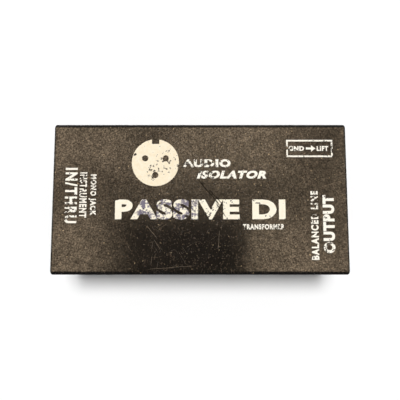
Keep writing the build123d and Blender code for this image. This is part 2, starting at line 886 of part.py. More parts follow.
def make_switch_terminals():
    """Six solder terminals: a head inside the can and a blade through the board."""
    face = switch_plane()
    with BuildPart() as terminals:
        with BuildSketch(face.offset(can_back - terminal_head)):
            with Locations(*terminal_points()):
                Rectangle(terminal_wide + 2 * terminal_head_margin, terminal_wide + 2 * terminal_head_margin)
        extrude(amount=terminal_head)
        with BuildSketch(face.offset(can_back)):
            with Locations(*terminal_points()):
                Rectangle(terminal_thick, terminal_wide)
        extrude(amount=board_thick + terminal_length)
        for column, row in terminal_points():
            eye = face.from_local_coords(Vector(column, row, board_rear + terminal_length - terminal_eye))
            with BuildSketch(Plane(origin=eye, x_dir=(1, 0, 0), z_dir=(0, 1, 0))):
                Circle(terminal_hole)
            extrude(amount=terminal_thick, both=True, mode=Mode.SUBTRACT)
    return terminals


def make_switch_screws():
    outside = plane_at(panel_outer, switch_offset, axis_height, (1, 0, 0))
    length = sheet + switch_sheet + switch_screw_past
    screws = []
    for side in (-1, 1):
        spot = outside.from_local_coords(Vector(0, side * switch_screw_pitch / 2))
        seat = Plane(spot, (0, 1, 0), (1, 0, 0))
        screws.append(pan_screw(seat, m25_radius, length, m25_head_radius, m25_head_height))
    with BuildPart() as group:
        add(screws)
    return group


def make_switch():
    pieces["switch_frame"] = make_switch_frame()
    pieces["switch_slider"] = make_slider()
    pieces["switch_bridge_contacts"] = make_bridge_contacts()
    pieces["switch_springs"] = make_switch_springs()
    pieces["switch_terminal_board"] = make_terminal_board()
    pieces["switch_terminals"] = make_switch_terminals()
    pieces["switch_screws"] = make_switch_screws()


# --- Transformer ------------------------------------------------------------------------

stack = lamination_count * lamination_pitch
core_bottom = base_floor + core_lift
core_height = window_height + 2 * leg
core_top = core_bottom + core_height
core_half = 3 * leg
window_bottom = core_bottom + leg
window_top = window_bottom + window_height
bracket_screw_y = core_half + bracket_gap + bracket_foot * bracket_screw_share
tube_y = leg + bobbin_gap
tube_x = stack / 2 + bobbin_gap
terminal_foot = window_top - bobbin_gap - bobbin_wall - terminal_sunk
terminal_tip = terminal_foot + pin_wire_length


def bracket_screw_points():
    return [(core_x, -bracket_screw_y), (core_x, bracket_screw_y)]


def lamination_faces():
    """The near face of each lamination, from back to front."""
    first = core_x - stack / 2
    return [first + i * lamination_pitch for i in range(lamination_count)]


def make_e_laminations():
    """The E pieces, turned end for end by turns, so that the joints are interleaved."""
    with BuildPart() as group:
        for number, x in enumerate(lamination_faces()):
            with BuildSketch(plane_at(x, 0, 0, (1, 0, 0))):
                with Locations((0, core_bottom if number % 2 else core_bottom + leg)):
                    Rectangle(2 * core_half, core_height - leg, align=(Align.CENTER, Align.MIN))
                with Locations((-1.5 * leg, window_bottom), (1.5 * leg, window_bottom)):
                    Rectangle(leg, window_height, align=(Align.CENTER, Align.MIN), mode=Mode.SUBTRACT)
            extrude(amount=lamination)
    return group


def make_i_laminations():
    """The I pieces, which close the open end of each E."""
    with BuildPart() as group:
        for number, x in enumerate(lamination_faces()):
            with BuildSketch(plane_at(x, 0, 0, (1, 0, 0))):
                with Locations((0, window_top + joint_gap if number % 2 else core_bottom)):
                    Rectangle(2 * core_half, leg - joint_gap, align=(Align.CENTER, Align.MIN))
            extrude(amount=lamination)
    return group


def coil_ring(inner, outer, bottom, top):
    """A rounded rectangular ring round the middle leg."""
    with BuildPart() as coil:
        with BuildSketch(Plane.XY.offset(bottom)):
            with Locations((core_x, 0)):
                RectangleRounded(2 * (tube_x + outer), 2 * (tube_y + outer), coil_corner + outer)
                hole = (2 * (tube_x + inner), 2 * (tube_y + inner), coil_corner + inner)
                RectangleRounded(*hole, mode=Mode.SUBTRACT)
        extrude(amount=top - bottom)
    return coil.part


def make_bobbin():
    """Tube and two flanges; the top flange reaches past the core to carry the terminals."""
    bottom = window_bottom + bobbin_gap
    top = window_top - bobbin_gap
    flange_y = 2 * leg - bobbin_gap
    with BuildPart() as bobbin:
        for start in (bottom, top - bobbin_wall):
            with BuildSketch(Plane.XY.offset(start)):
                with Locations((core_x, 0)):
                    RectangleRounded(stack + 2 * terminal_overhang, 2 * flange_y, bobbin_corner)
            extrude(amount=bobbin_wall)
        add(coil_ring(0, bobbin_wall, bottom, top))
        with BuildSketch(Plane.XY.offset(bottom)):
            with Locations((core_x, 0)):
                Rectangle(2 * tube_x, 2 * tube_y)
        extrude(amount=top - bottom, mode=Mode.SUBTRACT)
        with BuildSketch(Plane.XY.offset(top - bobbin_wall)):
            with Locations(*transformer_terminal_points()):
                Circle(pin_wire_radius + joint_gap)
        extrude(amount=bobbin_wall, mode=Mode.SUBTRACT)
    return bobbin


def transformer_terminal_points():
    """Three terminals at the back for the primary, then three at the front for the secondary."""
    reach = stack / 2 + terminal_overhang - terminal_inset
    return [(core_x + end * reach, row * pin_wire_pitch) for end in (-1, 1) for row in (-1, 0, 1)]


def make_transformer_terminals():
    with BuildPart() as pins:
        with BuildSketch(Plane.XY.offset(terminal_foot)):
            with Locations(*transformer_terminal_points()):
                Circle(pin_wire_radius)
        extrude(amount=pin_wire_length)
    return pins


def make_bracket():
    """The channel frame that straps the core down, with a screw slot in each foot."""
    outer = core_half + bracket_gap + bracket_sheet
    top = core_top + bracket_gap + bracket_sheet
    foot_end = outer + bracket_foot - bracket_sheet
    foot_top = base_floor + bracket_sheet
    outline = [
        (-foot_end, foot_top),
        (-outer, foot_top),
        (-outer, top),
        (outer, top),
        (outer, foot_top),
        (foot_end, foot_top),
    ]
    middle = plane_at(core_x, 0, 0, (1, 0, 0))
    with BuildPart() as bracket:
        section = folded(middle, outline, bracket_bend, bracket_sheet, Side.RIGHT)
        extrude(section, amount=stack / 2 - bracket_margin, both=True)
        with BuildSketch(Plane.XY.offset(base_floor)):
            with Locations(*bracket_screw_points()):
                SlotOverall(2 * m3_hole + slot_travel, 2 * m3_hole, rotation=90)
        extrude(amount=bracket_sheet, mode=Mode.SUBTRACT)
    return bracket


def make_bracket_screws():
    length = sheet + bracket_sheet + m3_nut_height + thread_past_nut
    seats = [plane_at(x, y, base_bottom, (0, 0, -1)) for x, y in bracket_screw_points()]
    screws = [pan_screw(seat, m3_radius, length, m3_head_radius, m3_head_height) for seat in seats]
    with BuildPart() as group:
        add(screws)
    return group


def make_bracket_nuts():
    foot_top = base_floor + bracket_sheet
    seats = [plane_at(x, y, foot_top, (0, 0, 1), (1, 0, 0)) for x, y in bracket_screw_points()]
    nuts = [hex_nut(seat, m3_nut_flats, m3_nut_height, m3_radius + thread_gap) for seat in seats]
    with BuildPart() as group:
        add(nuts)
    return group


def make_transformer():
    coil_bottom = window_bottom + bobbin_gap + bobbin_wall + winding_gap
    coil_top = window_top - bobbin_gap - bobbin_wall - winding_gap
    first = bobbin_wall + winding_gap
    second = first + primary_build + winding_gap
    third = second + secondary_build + winding_gap
    pieces["transformer_e_laminations"] = make_e_laminations()
    pieces["transformer_i_laminations"] = make_i_laminations()
    pieces["transformer_bobbin"] = make_bobbin()
    with BuildPart() as primary:
        add(coil_ring(first, first + primary_build, coil_bottom, coil_top))
    pieces["transformer_primary"] = primary
    with BuildPart() as secondary:
        add(coil_ring(second, second + secondary_build, coil_bottom, coil_top))
    pieces["transformer_secondary"] = secondary
    with BuildPart() as tape:
        add(coil_ring(third, third + tape_build, coil_bottom + tape_margin, coil_top - tape_margin))
    pieces["transformer_tape"] = tape
    pieces["transformer_terminals"] = make_transformer_terminals()
    pieces["transformer_bracket"] = make_bracket()
    pieces["transformer_screws"] = make_bracket_screws()
    pieces["transformer_nuts"] = make_bracket_nuts()


# --- Hook-up wires ----------------------------------------------------------------------


def tag_wire_start(y, radius, angle, contact_depth):
    """Where a wire ends, just in front of a jack tag's hole."""
    across, up = polar(radius, angle)
    return (-panel_inner + contact_depth - through_tag, y + across, axis_height + up)


def beside(anchor, *steps):
    """The anchor and then the points that lie off it by each step."""
    return [anchor] + [tuple(a + b for a, b in zip(anchor, step)) for step in steps]


def bend_radii(route):
    """The largest tangent arcs that the runs leave room for."""
    radii = []
    for before, corner, after in zip(route, route[1:], route[2:]):
        arriving = Vector(*corner) - Vector(*before)
        leaving = Vector(*after) - Vector(*corner)
        half_turn = radians(arriving.get_angle(leaving)) / 2
        radii.append(bend_share * min(arriving.length, leaving.length) / tan(half_turn))
    return radii


def make_wire(name, route):
    """An insulated wire along its route, with both ends stripped to the core."""
    radii = bend_radii(route)
    first = (Vector(*route[1]) - Vector(*route[0])).normalized()
    last = (Vector(*route[-2]) - Vector(*route[-1])).normalized()
    cut_first = Vector(*route[0]) + first * strip_length
    cut_last = Vector(*route[-1]) + last * strip_length
    with BuildPart() as wire:
        with BuildLine() as run:
            FilletPolyline(cut_first, *route[1:-1], cut_last, radius=radii)
        with BuildSketch(Plane(origin=run.line @ 0, z_dir=run.line % 0)):
            Circle(wire_radius)
        sweep()
        for cut, outward in ((cut_first, -first), (cut_last, -last)):
            with BuildSketch(Plane(origin=cut, z_dir=outward)):
                Circle(core_radius)
            extrude(amount=strip_length)
    length = sum(edge.length for edge in run.edges())
    expected = pi * (wire_radius**2 * length + 2 * core_radius**2 * strip_length)
    print(name, "radii", [round(r, 1) for r in radii], "volume", round(wire.part.volume / expected, 4))
    return wire


def switch_eye(row):
    """Where a wire ends, just through the eye of a switch terminal on the connector's side."""
    x = panel_inner - board_rear - terminal_length + terminal_eye
    y = switch_offset - terminal_column + terminal_thick / 2 + eye_clearance
    return (x, y, axis_height + row * terminal_row)


def pin_cup(number):
    """The bottom of a connector pin's solder cup."""
    across, up = polar(pin_circle, pin_angles[number - 1])
    depth = boss_rear + cup_solder_length * cup_fill
    return (panel_outer - depth, output_offset + across, axis_height + up)


def make_wires():
    """The eight hook-up wires. Their middle points are chosen by hand, off the piece that each end meets."""
    tip_depth = contact_start
    sleeve_depth = jack_shoulder
    tip_far_input = tag_wire_start(input_y, tag_far_hole, tag_angle, tip_depth)
    tip_far_thru = tag_wire_start(thru_y, tag_far_hole, tag_angle, tip_depth)
    tip_near_thru = tag_wire_start(thru_y, tag_near_hole, tag_angle, tip_depth)
    sleeve_far_input = tag_wire_start(input_y, tag_far_hole, 180 - tag_angle, sleeve_depth)
    sleeve_far_thru = tag_wire_start(thru_y, tag_far_hole, 180 - tag_angle, sleeve_depth)
    sleeve_near_thru = tag_wire_start(thru_y, tag_near_hole, 180 - tag_angle, sleeve_depth)
    terminals = [(x, y, terminal_tip) for x, y in transformer_terminal_points()]
    primary_return, primary_hot, _, output_cold, output_hot, _ = terminals
    rise = (0, 0, 3.25)  # straight up off a terminal
    chassis_hole = (
        panel_inner - fine,
        output_offset + flange_screw_across + ground_tag_reach,
        axis_height - flange_screw_up,
    )
    routes = {
        "wire_tip_link": beside(tip_far_input, (4, 0, 0), (7.4, -3.4, -0.4), (8.2, -10.2, -0.8))
        + beside(tip_far_thru, (4, 0, 0), (7.4, 3.4, -0.4), (8.2, 10.2, -0.8))[::-1],
        "wire_sleeve_link": beside(sleeve_far_input, (4.4, 0, 0), (7.4, -2.2, 3.5), (8.4, -8.2, 4.5))
        + beside(sleeve_far_thru, (4.4, 0, 0), (7.4, 2.3, 3.5), (8.4, 8.1, 4.5))[::-1],
        "wire_primary_hot": beside(tip_near_thru, (4.4, 0, 0), (9.6, 0.5, -2.5), (18.6, 2, -3.5))
        + beside(primary_hot, rise, (-2.5, 0, 5.85), (-6, -0.6, 5.3), (-13, -2.5, 2.2))[::-1],
        "wire_primary_return": beside(sleeve_near_thru, (4.8, 0, 0), (10.9, 1, -2.5), (20.4, 4, -3.5))
        + beside(primary_return, rise, (-2.5, 0, 5.85), (-6, -0.8, 5.3), (-13, -4, 2.2))[::-1],
        "wire_output_hot": beside(output_hot, rise, (2.5, -0.5, 5.85), (6.5, -1.5, 5.8), (12.4, -4, 3.2))
        + beside(pin_cup(2), (-5.5, 0, 0), (-11, 1.1, 1.6))[::-1],
        "wire_output_cold": beside(output_cold, rise, (2.5, -0.4, 5.85), (6.5, -1.6, 5.2), (12.4, -4, 1.2))
        + beside(pin_cup(3), (-5.5, 0, 0), (-11, 0, 3.2))[::-1],
        "wire_pin_1": beside(pin_cup(1), (-4.7, 0, 0), (-8.2, 1.9, 2.6), (-8, 7.8, 6.1), (-6, 15.3, 6.6))
        + beside(switch_eye(0), (0, -3.6, 0), (0, -7.1, 0.9), (-2.9, -10.1, 3.5), (-8.9, -13.6, 7))[::-1],
        "wire_chassis": beside(chassis_hole, (-4.4, 0, 0), (-8.5, 1.2, 1.7))
        + beside(switch_eye(-1), (0, -4, 0), (0.3, -8.2, -2.9))[::-1],
    }
    for name, route in routes.items():
        pieces[name] = make_wire(name, route)


def save(name, piece):
    piece.part.label = name
    export_step(piece.part, f"parts/{name}.step")


def main():
    os.makedirs("parts", exist_ok=True)
    pieces["cover"] = make_cover()
    pieces["base"] = make_base()
    pieces["cover_screws"] = make_cover_screws()
    foot_x = base_length / 2 - foot_inset
    foot_y = base_width / 2 - foot_inset
    pieces["foot_input_front"] = make_foot(-foot_x, -foot_y)
    pieces["foot_input_rear"] = make_foot(-foot_x, foot_y)
    pieces["foot_output_front"] = make_foot(foot_x, -foot_y)
    pieces["foot_output_rear"] = make_foot(foot_x, foot_y)
    make_jack("input_jack", input_y)
    make_jack("thru_jack", thru_y)
    make_output_connector()
    make_switch()
    make_transformer()
    make_wires()
    for name, piece in pieces.items():
        save(name, piece)


main()
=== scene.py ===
import json
from functools import partial, reduce
from math import cos, pi, radians, sin

import bpy
import numpy as np
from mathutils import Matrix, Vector


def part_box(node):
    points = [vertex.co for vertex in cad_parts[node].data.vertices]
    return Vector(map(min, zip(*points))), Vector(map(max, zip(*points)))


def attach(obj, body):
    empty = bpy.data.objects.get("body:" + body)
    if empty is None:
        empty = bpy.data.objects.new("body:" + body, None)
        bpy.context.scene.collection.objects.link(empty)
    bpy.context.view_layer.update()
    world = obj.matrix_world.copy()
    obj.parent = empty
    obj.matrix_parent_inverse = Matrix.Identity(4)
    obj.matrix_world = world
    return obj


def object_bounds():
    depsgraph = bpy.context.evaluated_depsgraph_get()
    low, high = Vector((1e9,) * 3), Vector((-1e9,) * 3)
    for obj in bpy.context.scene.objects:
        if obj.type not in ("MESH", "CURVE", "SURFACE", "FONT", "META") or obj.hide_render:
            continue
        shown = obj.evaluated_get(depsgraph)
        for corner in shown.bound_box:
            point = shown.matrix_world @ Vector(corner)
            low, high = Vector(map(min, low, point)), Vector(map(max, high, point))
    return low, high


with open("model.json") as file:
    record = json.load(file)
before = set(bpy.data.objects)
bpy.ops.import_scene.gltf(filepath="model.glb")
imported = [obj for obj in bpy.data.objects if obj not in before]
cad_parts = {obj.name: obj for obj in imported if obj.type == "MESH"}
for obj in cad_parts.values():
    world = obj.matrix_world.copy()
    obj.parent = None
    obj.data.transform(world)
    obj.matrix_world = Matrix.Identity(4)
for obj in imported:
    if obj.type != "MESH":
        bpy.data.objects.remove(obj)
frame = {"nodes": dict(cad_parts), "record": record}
cad_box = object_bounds()

# A passive direct injection box in a case of folded, powder-coated steel. +X is the output end and
# -Y the near long side. Sizes and places are in millimetres, and a value times MM is in metres.
MM = 0.001
floor_height = cad_box[0].z
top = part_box("cover")[1].z

# Print on the cover: how far the ink stands proud, and how far its underside is sunk in the coat.
INK_PROUD = 0.03 * MM
INK_SUNK = 0.02 * MM
PRINT_EXTRUDE = 0.02  # any depth will do: the print is scaled to its ink's thickness
STAIN_MIDDLE = (-14.0 * MM, -4.9 * MM)
STAIN_REACH = (15.0 * MM, 5.5 * MM)
STAIN_FADE = 0.8  # of its reach, where the stain begins to fade

# Middle (x, y), direction (degrees), length and half width of the scratches that stand out.
PALE_SCRATCHES = (
    (-46.0, -12.5, -12.0, 14.0, 0.16),
    (-46.5, -12.0, 78.0, 6.0, 0.12),
    (-20.5, -14.5, -52.0, 8.0, 0.11),
    (52.5, -6.5, -75.0, 9.0, 0.11),
    (45.0, -14.5, 62.0, 12.0, 0.10),
    (56.0, 6.0, 15.0, 12.0, 0.10),
    (-56.0, -9.0, 8.0, 8.0, 0.12),
    (-12.0, -29.5, 4.0, 22.0, 0.10),
    (8.0, -18.0, 84.0, 9.0, 0.09),
)
DARK_SCRATCHES = (
    (4.2, 2.0, -50.0, 17.0, 0.42),
    (7.0, 0.2, -48.0, 11.0, 0.3),
    (9.0, -5.2, -56.0, 8.0, 0.34),
)
# Families of hair scratches: direction, length and width of a hair, length and width of its patch.
HAIR_SCRATCHES = (
    (34, 14.0, 0.34, 30.0, 9.0),
    (-58, 11.0, 0.30, 26.0, 8.0),
    (82, 9.0, 0.30, 22.0, 8.0),
)

# The camera leans a little to the near long side, and a warm ceiling glows over the case.
CAMERA_DISTANCE = 200 * MM
CAMERA_ELEVATION = 83.7
CAMERA_LENS = 41.95
CAMERA_AIM = -0.82 * MM
SUN_STRENGTH = 3.1
SUN_SPREAD = 18
SUN_LEAN = -8.5
ROOM_LIGHT = 0.17
OVERHEAD_HEIGHT = top + 60 * MM
OVERHEAD_STRENGTH = 3.4
OVERHEAD_LOW = (-105 * MM, -75 * MM)
OVERHEAD_HIGH = (105 * MM, 80 * MM)
# The flag is a dark area of the ceiling. Each pair is where its left, right and far edges begin and end.
FLAG_DEPTH = 0.95
FLAG_LEFT = (-66 * MM, -37 * MM)
FLAG_RIGHT = (25.5 * MM, 29 * MM)
FLAG_FAR = (-9 * MM, 8 * MM)
# Middle (x, y), half width, half depth and darkness of the dimmer patches of the ceiling.
DIM_PATCHES = (
    (0.0, 9.0, 170.0, 24.0, 0.58),
    (-29.0, 42.0, 24.0, 30.0, 0.5),
    (68.0, 36.0, 30.0, 34.0, 0.68),
    (70.0, -11.0, 25.0, 21.0, 0.62),
    (-62.0, 13.0, 38.0, 22.0, 0.3),
)


# --- Node and colour helpers ------------------------------------------------------------


def linear(code):
    """Turns an sRGB hex colour into linear red, green, blue and alpha."""
    channels = [int(code[i : i + 2], 16) / 255 for i in (0, 2, 4)]
    return [c / 12.92 if c <= 0.04045 else ((c + 0.055) / 1.055) ** 2.4 for c in channels] + [1.0]


def per_mm(size):
    """The pattern scale that makes one feature this many millimetres across."""
    return 1 / (size * MM)


def node(tree, kind, inputs=(), give=0, **settings):
    """Adds a node, applies its settings, fills or links its inputs, and gives one of its outputs.

    Inputs are a row in the order of the sockets, or a dictionary by name or place.
    """
    made = tree.nodes.new("ShaderNode" + kind)
    for name, value in settings.items():
        setattr(made, name, value)
    for socket, value in inputs.items() if isinstance(inputs, dict) else enumerate(inputs):
        if isinstance(value, bpy.types.NodeSocket):
            tree.links.new(value, made.inputs[socket])
        else:
            made.inputs[socket].default_value = value
    return made.outputs[give] if made.outputs else made


def new_material(name):
    """An empty material, the function that adds a node to it, and its object coordinates."""
    made = bpy.data.materials.new(name)
    made.use_nodes = True
    made.node_tree.nodes.clear()
    add = partial(node, made.node_tree)
    return made, add, add("TexCoord", give="Object")


def shade(add, colour, roughness, normal=None, **constants):
    """The surface shader and the output. Constants go on the shader's own sockets."""
    inputs = {"Base Color": colour, "Roughness": roughness}
    if normal is not None:
        inputs["Normal"] = normal
    inputs |= {name.replace("_", " "): value for name, value in constants.items()}
    add("OutputMaterial", {"Surface": add("BsdfPrincipled", inputs)})


def stretched(add, place, angle, along, across, detail=2.0):
    """Noise drawn out in one direction of the top's plane, as brushing and scratches are."""
    turned = add("Mapping", {"Vector": place, "Rotation": (0, 0, radians(-angle))})
    scale = (per_mm(along), per_mm(across), per_mm(along))
    scaled = add("Mapping", {"Vector": turned, "Scale": scale})
    return add("TexNoise", {"Vector": scaled, "Scale": 1.0, "Detail": detail})


# --- Powder coat ------------------------------------------------------------------------


def scratch(add, place, x, y, angle, length, width):
    """One straight scratch in the top: 1 on a wavering line, fading towards its ends and edges."""
    inputs = {"Vector": place, "Location": (x * MM, y * MM, 0), "Rotation": (0, 0, radians(angle))}
    own = add("Mapping", inputs, vector_type="TEXTURE")
    along = add("SeparateXYZ", (own,), "X")
    wander = add("TexNoise", {"Vector": own, "Scale": per_mm(3.0)})
    waver = add("MapRange", (wander, 0, 1, -0.5 * MM, 0.5 * MM))
    aside = add("Math", (along.node.outputs["Y"], waver), operation="ADD")
    from_line = add("Math", (aside,), operation="ABSOLUTE")
    from_middle = add("Math", (along,), operation="ABSOLUTE")
    line = add("MapRange", (from_line, 0.3 * width * MM, width * MM, 1, 0))
    stretch = add("MapRange", (from_middle, 0.3 * length * MM, 0.5 * length * MM, 1, 0))
    return add("Math", (line, stretch), operation="MULTIPLY")


def strongest(add, masks):
    """The largest of several masks at each point."""
    return reduce(lambda a, b: add("Math", (a, b), operation="MAXIMUM"), masks)


def hair_scratches(add, place, angle, length, width, patch_length, patch_width):
    """Hair scratches in one direction: crests of drawn-out noise, inside the crests of a broader one."""
    hair = add("MapRange", (stretched(add, place, angle, length, width), 0.66, 0.74))
    patch = add("MapRange", (stretched(add, place, angle, patch_length, patch_width), 0.5, 0.62))
    return add("Math", (hair, patch), operation="MULTIPLY")


def coat_layers(add, place):
    """Black polyester powder coat, baked on steel: a fine sandy texture with an orange peel under it,
    half gloss, rubbed and scratched by use. Gives its colour, roughness, normal, dark scratches and
    gloss."""
    sand = add("TexNoise", {"Vector": place, "Scale": per_mm(0.62), "Roughness": 0.6})
    peel = add("TexNoise", {"Vector": place, "Scale": per_mm(3.2), "Detail": 1.0})
    cloud = add("TexNoise", {"Vector": place, "Scale": per_mm(26.0), "Detail": 3.0, "Roughness": 0.6})
    mottle = add("TexNoise", {"Vector": place, "Scale": per_mm(2.4), "Detail": 3.0, "Roughness": 0.65})
    grit = add("TexNoise", {"Vector": place, "Scale": per_mm(0.7), "Detail": 1.0, "Roughness": 0.4})
    dust = add("TexNoise", {"Vector": place, "Scale": per_mm(0.85), "Detail": 0.0})

    # The marks are all on the top: the sides are hardly touched, and the inside not at all.
    facing = add("SeparateXYZ", (add("TexCoord", give="Normal"),), "Z")
    height = add("SeparateXYZ", (place,), "Z")
    level = add("MapRange", (facing, 0.5, 0.8))
    upper = add("MapRange", (height, top - 0.8 * MM, top - 0.4 * MM))
    on_top = add("Math", (level, upper), operation="MULTIPLY")
    hairs = [hair_scratches(add, place, *family) for family in HAIR_SCRATCHES]
    pales = [scratch(add, place, *mark) for mark in PALE_SCRATCHES]
    darks = [scratch(add, place, *mark) for mark in DARK_SCRATCHES]
    pale = add("Math", (strongest(add, hairs + pales), on_top), operation="MULTIPLY")
    dark = add("Math", (strongest(add, darks), on_top), operation="MULTIPLY")

    # Rubbed grain tips and grains of dust read as paler, browner points, most of them lying on the top.
    # Having fewer of them on the sides is painted shade, which darkens the sides.
    top_dust_and_side_shade = add("MapRange", (on_top, 0, 1, 0.25, 1))
    tips = add("Math", (add("MapRange", (grit, 0.60, 0.70)), top_dust_and_side_shade), operation="MULTIPLY")
    grains = add("Math", (add("MapRange", (dust, 0.80, 0.86)), top_dust_and_side_shade), operation="MULTIPLY")

    colour = add("MixRGB", (add("MapRange", (cloud, 0.35, 0.7)), linear("0e0d0b"), linear("151210")))
    for mask, strength, code in (
        (tips, 0.35, "5b4d40"),
        (grains, 0.55, "b09a78"),
        (pale, 0.36, "8c7d6c"),
        (dark, 1.0, "0d0b09"),
    ):
        amount = add("Math", (mask, strength), operation="MULTIPLY")
        colour = add("MixRGB", (amount, colour, linear(code)))

    # A scratch is rougher than the coat round it, and cut into it.
    rough = add("MapRange", (cloud, 0.3, 0.7, 0.17, 0.24))
    rough = add("Math", (pale, 0.25, rough), operation="MULTIPLY_ADD")
    rough = add("Math", (dark, 0.4, rough), operation="MULTIPLY_ADD")
    relief = add("Bump", {"Height": peel, "Distance": 0.012 * MM})
    relief = add("Bump", {"Height": sand, "Distance": 0.02 * MM, "Normal": relief})
    uncut = add("Math", (1.0, strongest(add, (pale, dark))), operation="SUBTRACT")
    relief = add("Bump", {"Height": uncut, "Distance": 0.02 * MM, "Normal": relief})

    # Grain tips catch the light, the pits between them don't, and a dark scratch has lost its gloss.
    sparkle = add("MapRange", (sand, 0.50, 0.68, 0, 0.62))
    pits = add("MapRange", (sand, 0.32, 0.47, -0.26, 0))
    gloss = add("Math", (add("Math", (sparkle, pits), operation="ADD"), 0.4), operation="ADD")
    for mask, low, high, dullest, brightest in (
        (mottle, 0.35, 0.65, 0.78, 1.22),
        (dark, 0, 1, 1.0, 0.3),
        (cloud, 0.3, 0.7, 0.86, 1.12),
    ):
        share = add("MapRange", (mask, low, high, dullest, brightest))
        gloss = add("Math", (gloss, share), operation="MULTIPLY")
    return colour, rough, relief, dark, gloss


def powder_coat():
    """Textured semi-gloss black powder coat."""
    made, add, place = new_material("powder_coat")
    colour, rough, relief, _, gloss = coat_layers(add, place)
    shade(add, colour, rough, relief, IOR=1.5, Specular_IOR_Level=gloss)
    return made


# --- Screen-printed legends --------------------------------------------------------------


def screen_ink(name, code, chip_size, chip_level):
    """Epoxy screen ink on the coat: matt and opaque, chipped down to the coat in small flakes."""
    made, add, place = new_material(name)
    coat, _, relief, dark, _ = coat_layers(add, place)
    flakes = add("TexNoise", {"Vector": place, "Scale": per_mm(chip_size), "Detail": 4.0, "Roughness": 0.6})
    patches = add("TexNoise", {"Vector": place, "Scale": per_mm(9.0)})
    loss = add("Math", (patches, 0.5, flakes), operation="MULTIPLY_ADD")
    worn = add("MapRange", (loss, chip_level, chip_level + 0.03))
    worn = add("Math", (worn, dark), operation="MAXIMUM")

    # Dye from a bag or a case has stained the middle of the largest legend.
    centred = add("Mapping", {"Vector": place, "Location": (-STAIN_MIDDLE[0], -STAIN_MIDDLE[1], 0)})
    blotch = add("TexNoise", {"Vector": place, "Scale": per_mm(1.9), "Detail": 3.0, "Roughness": 0.65})
    stain = add("MapRange", (blotch, 0.46, 0.53))
    for axis, reach in zip("XY", STAIN_REACH):
        away = add("Math", (add("SeparateXYZ", (centred,), axis),), operation="ABSOLUTE")
        fade = add("MapRange", (away, reach * STAIN_FADE, reach, 1, 0))
        stain = add("Math", (stain, fade), operation="MULTIPLY")
    stain = add("Math", (stain, 0.9), operation="MULTIPLY")

    pigment = add("MixRGB", (add("MapRange", (flakes, 0.3, 0.8, 0, 0.5)), linear(code), linear("fffbf0")))
    stained = add("MixRGB", (stain, pigment, linear("4c4866")))
    colour = add("MixRGB", (worn, stained, coat))
    rough = add("MapRange", (worn, 0, 1, 0.55, 0.34))
    whole = add("Math", (1.0, worn), operation="SUBTRACT")
    edge = add("Bump", {"Height": whole, "Distance": 0.015 * MM, "Normal": relief})
    shade(add, colour, rough, edge, IOR=1.5, Specular_IOR_Level=0.25)
    return made


def place_print(data, name, centre, size, turn, ink):
    """Lays flat print on the cover's top as a mesh. Each point, measured from the middle of the print's
    box, is scaled to the size and to the ink's thickness, turned about Z, and moved to the centre."""
    flat = bpy.data.objects.new(name, data)
    bpy.context.scene.collection.objects.link(flat)
    ready = flat.evaluated_get(bpy.context.evaluated_depsgraph_get())
    mesh = bpy.data.meshes.new_from_object(ready)
    bpy.data.objects.remove(flat)
    points = np.empty(len(mesh.vertices) * 3)
    mesh.vertices.foreach_get("co", points)
    points = points.reshape(-1, 3)
    low, high = points.min(0), points.max(0)
    wanted = np.array([size[0] * MM, size[1] * MM, INK_PROUD + INK_SUNK])
    points = (points - (low + high) / 2) * wanted / (high - low)
    angle = radians(turn)
    x = points[:, 0] * cos(angle) - points[:, 1] * sin(angle) + centre[0] * MM
    y = points[:, 0] * sin(angle) + points[:, 1] * cos(angle) + centre[1] * MM
    z = points[:, 2] + top + (INK_PROUD - INK_SUNK) / 2
    mesh.vertices.foreach_set("co", np.stack([x, y, z], 1).ravel())
    mesh.update()
    mesh.materials.clear()
    mesh.materials.append(ink)
    piece = bpy.data.objects.new(name, mesh)
    bpy.context.scene.collection.objects.link(piece)
    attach(piece, "case")


def words(name, body, centre, size, turn, ink, weight, spacing, slant=0.0):
    """One line of capitals, set to its width and cap height. Weight thickens the strokes."""
    text = bpy.data.curves.new(name, "FONT")
    text.body = body
    text.offset = weight
    text.shear = slant
    text.space_character = spacing
    text.extrude = PRINT_EXTRUDE
    text.resolution_u = 4
    place_print(text, name, centre, size, turn, ink)


def outline_print(name, loops, centre, size, turn, ink):
    """Flat print from closed outlines: a loop inside another is a hole."""
    flat = bpy.data.curves.new(name, "CURVE")
    flat.dimensions = "2D"
    flat.fill_mode = "BOTH"
    flat.extrude = PRINT_EXTRUDE
    for loop in loops:
        spline = flat.splines.new("POLY")
        spline.points.add(len(loop) - 1)
        spline.points.foreach_set("co", np.c_[loop, np.zeros(len(loop)), np.ones(len(loop))].ravel())
        spline.use_cyclic_u = True
    place_print(flat, name, centre, size, turn, ink)


def circle(x, y, radius, start=0.0, sweep=360.0, count=72):
    """Points on an arc: the centre plus the radius times the cosine and sine of evenly spaced angles."""
    angles = np.radians(start + np.linspace(0, sweep, count, endpoint=sweep < 360))
    return np.c_[x + radius * np.cos(angles), y + radius * np.sin(angles)]


def rectangle(width, height):
    """The corners of a rectangle about the origin: half its width and height, each way."""
    return np.array([(-1, -1), (1, -1), (1, 1), (-1, 1)]) * [width / 2, height / 2]


def socket_sign(ink):
    """A generic sign for a three-pin socket: a disc with a key notch at its top and three pin holes."""
    radius = 10.2
    notch_angle = 9.0  # from the middle of the notch to its side
    notch_depth = 1.9
    pin_circle = 5.0
    pin_drop = 0.4  # of the pins' circle below the middle of the disc
    pin_hole = 1.35
    rim = circle(0, 0, radius, 90 + notch_angle, 360 - 2 * notch_angle, 140)
    half = radius * sin(radians(notch_angle))
    floor = radius * cos(radians(notch_angle)) - notch_depth
    rim = np.vstack([rim, [(half, floor), (-half, floor)]])
    pins = [
        circle(pin_circle * cos(radians(a)), pin_circle * sin(radians(a)) - pin_drop, pin_hole)
        for a in (153, 27, 270)
    ]
    outline_print("legend_socket_sign", [rim] + pins, (-19.3, 15.4), (2 * radius, 2 * radius), 0, ink)


